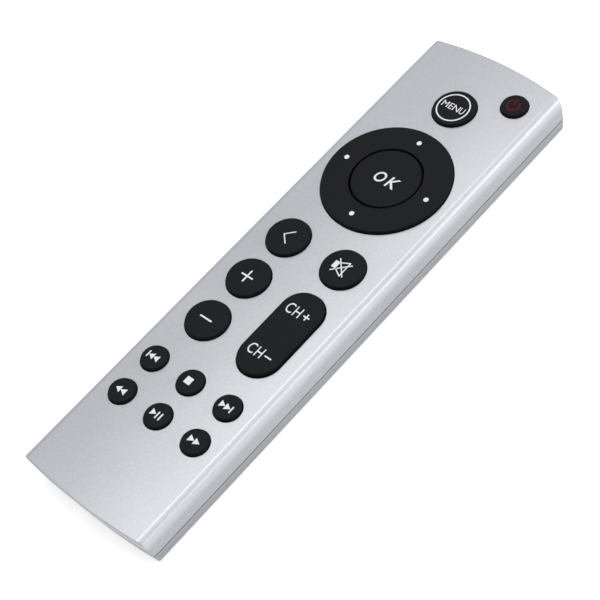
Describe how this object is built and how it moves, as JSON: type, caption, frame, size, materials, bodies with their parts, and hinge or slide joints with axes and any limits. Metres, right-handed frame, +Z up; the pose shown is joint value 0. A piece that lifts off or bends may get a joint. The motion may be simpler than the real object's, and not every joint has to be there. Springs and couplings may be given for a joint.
{
  "type": "tv box remote control",
  "caption": "Slim bar-shaped remote control with a silver case, round black keys, a direction ring around an OK key and a channel rocker.",
  "frame": {"origin": "centre of the flat back, where the remote lies on a table", "axes": "+Z up out of the key face, +Y along the remote towards the infrared end, +X to the user's right"},
  "size_m": [0.038, 0.1419, 0.012],
  "materials": {
    "upper_case_silver": "satin silver paint with a fine metallic grain",
    "lower_case_silver": "satin silver paint",
    "key_black": "matt charcoal black",
    "legend_white": "white print",
    "legend_red": "dark red print",
    "soft_mat": "matt moulded silicone",
    "carbon_rubber": "carbon filled, dull",
    "carbon_print": "printed carbon, dull",
    "board_green": "solder mask over phenolic board",
    "chip_epoxy": "black moulding compound",
    "ceramic_yellow": "dipped coating",
    "capacitor_sleeve": "shrunk sleeve",
    "emitter_lens": "clear bluish resin",
    "tinned_metal": "tin plated strip and wire",
    "window_dark": "smoked infrared plastic",
    "cell_steel": "nickel plated steel",
    "screw_steel": "zinc plated"
  },
  "bodies": {
    "case": {"battery_negative_leaf": "tinned_metal", "battery_positive_clip": "tinned_metal", "board_screws": "screw_steel", "bottom_shell": "lower_case_silver", "capacitor": "capacitor_sleeve", "case_screws": "screw_steel", "circuit_board": "board_green", "coin_cell": "cell_steel", "contact_pads": "carbon_print", "controller_chip": "chip_epoxy", "ir_emitter": "emitter_lens", "ir_emitter_leads": "tinned_metal", "ir_window": "window_dark", "keypad_mat": "soft_mat", "resistors": "chip_epoxy", "resonator": "ceramic_yellow", "top_shell": "upper_case_silver", "transistor": "chip_epoxy"},
    "power_key": {"power_button": "key_black", "power_contact_pill": "carbon_rubber"},
    "menu_key": {"menu_button": "key_black", "menu_contact_pill": "carbon_rubber"},
    "back_key": {"back_button": "key_black", "back_contact_pill": "carbon_rubber"},
    "mute_key": {"mute_button": "key_black", "mute_contact_pill": "carbon_rubber"},
    "volume_up_key": {"volume_up_button": "key_black", "volume_up_contact_pill": "carbon_rubber"},
    "volume_down_key": {"volume_down_button": "key_black", "volume_down_contact_pill": "carbon_rubber"},
    "previous_key": {"previous_button": "key_black", "previous_contact_pill": "carbon_rubber"},
    "stop_key": {"stop_button": "key_black", "stop_contact_pill": "carbon_rubber"},
    "next_key": {"next_button": "key_black", "next_contact_pill": "carbon_rubber"},
    "rewind_key": {"rewind_button": "key_black", "rewind_contact_pill": "carbon_rubber"},
    "play_pause_key": {"play_pause_button": "key_black", "play_pause_contact_pill": "carbon_rubber"},
    "fast_forward_key": {"fast_forward_button": "key_black", "fast_forward_contact_pill": "carbon_rubber"},
    "ok_key": {"ok_button": "key_black", "ok_contact_pill": "carbon_rubber"},
    "ring_seat": {"dpad_seat": "soft_mat"},
    "ring": {"dpad_ring": "key_black", "dpad_contact_pills": "carbon_rubber"},
    "rocker": {"channel_rocker": "key_black", "channel_contact_pills": "carbon_rubber"},
    "cover": {"battery_cover": "lower_case_silver"}
  },
  "joints": [
    {"name": "power_press", "type": "slide", "parent": "case", "child": "power_key", "axis": [0, 0, -1], "range_m": [0, 0.0008], "stiffness_N_per_m": 1500},
    {"name": "menu_press", "type": "slide", "parent": "case", "child": "menu_key", "axis": [0, 0, -1], "range_m": [0, 0.0008], "stiffness_N_per_m": 1500},
    {"name": "back_press", "type": "slide", "parent": "case", "child": "back_key", "axis": [0, 0, -1], "range_m": [0, 0.0008], "stiffness_N_per_m": 1500},
    {"name": "mute_press", "type": "slide", "parent": "case", "child": "mute_key", "axis": [0, 0, -1], "range_m": [0, 0.0008], "stiffness_N_per_m": 1500},
    {"name": "volume_up_press", "type": "slide", "parent": "case", "child": "volume_up_key", "axis": [0, 0, -1], "range_m": [0, 0.0008], "stiffness_N_per_m": 1500},
    {"name": "volume_down_press", "type": "slide", "parent": "case", "child": "volume_down_key", "axis": [0, 0, -1], "range_m": [0, 0.0008], "stiffness_N_per_m": 1500},
    {"name": "previous_press", "type": "slide", "parent": "case", "child": "previous_key", "axis": [0, 0, -1], "range_m": [0, 0.0008], "stiffness_N_per_m": 1500},
    {"name": "stop_press", "type": "slide", "parent": "case", "child": "stop_key", "axis": [0, 0, -1], "range_m": [0, 0.0008], "stiffness_N_per_m": 1500},
    {"name": "next_press", "type": "slide", "parent": "case", "child": "next_key", "axis": [0, 0, -1], "range_m": [0, 0.0008], "stiffness_N_per_m": 1500},
    {"name": "rewind_press", "type": "slide", "parent": "case", "child": "rewind_key", "axis": [0, 0, -1], "range_m": [0, 0.0008], "stiffness_N_per_m": 1500},
    {"name": "play_pause_press", "type": "slide", "parent": "case", "child": "play_pause_key", "axis": [0, 0, -1], "range_m": [0, 0.0008], "stiffness_N_per_m": 1500},
    {"name": "fast_forward_press", "type": "slide", "parent": "case", "child": "fast_forward_key", "axis": [0, 0, -1], "range_m": [0, 0.0008], "stiffness_N_per_m": 1500},
    {"name": "ok_press", "type": "slide", "parent": "case", "child": "ok_key", "axis": [0, 0, -1], "range_m": [0, 0.0008], "stiffness_N_per_m": 1500},
    {"name": "ring_tilt_up_down", "type": "hinge", "parent": "case", "child": "ring_seat", "pos_m": [0, 0.0295, 0.008], "axis": [1, 0, 0], "range_deg": [-2.5, 2.5], "stiffness_Nm_per_rad": 0.4},
    {"name": "ring_tilt_left_right", "type": "hinge", "parent": "ring_seat", "child": "ring", "pos_m": [0, 0.0295, 0.008], "axis": [0, 1, 0], "range_deg": [-2.5, 2.5], "stiffness_Nm_per_rad": 0.4},
    {"name": "channel_rock", "type": "hinge", "parent": "case", "child": "rocker", "pos_m": [0.00827, -0.01556, 0.00835], "axis": [1, 0, 0], "range_deg": [-2.5, 2.5], "stiffness_Nm_per_rad": 0.3},
    {"name": "cover_slide", "type": "slide", "parent": "case", "child": "cover", "axis": [0, -1, 0], "range_m": [0, 0.04]}
  ]
}
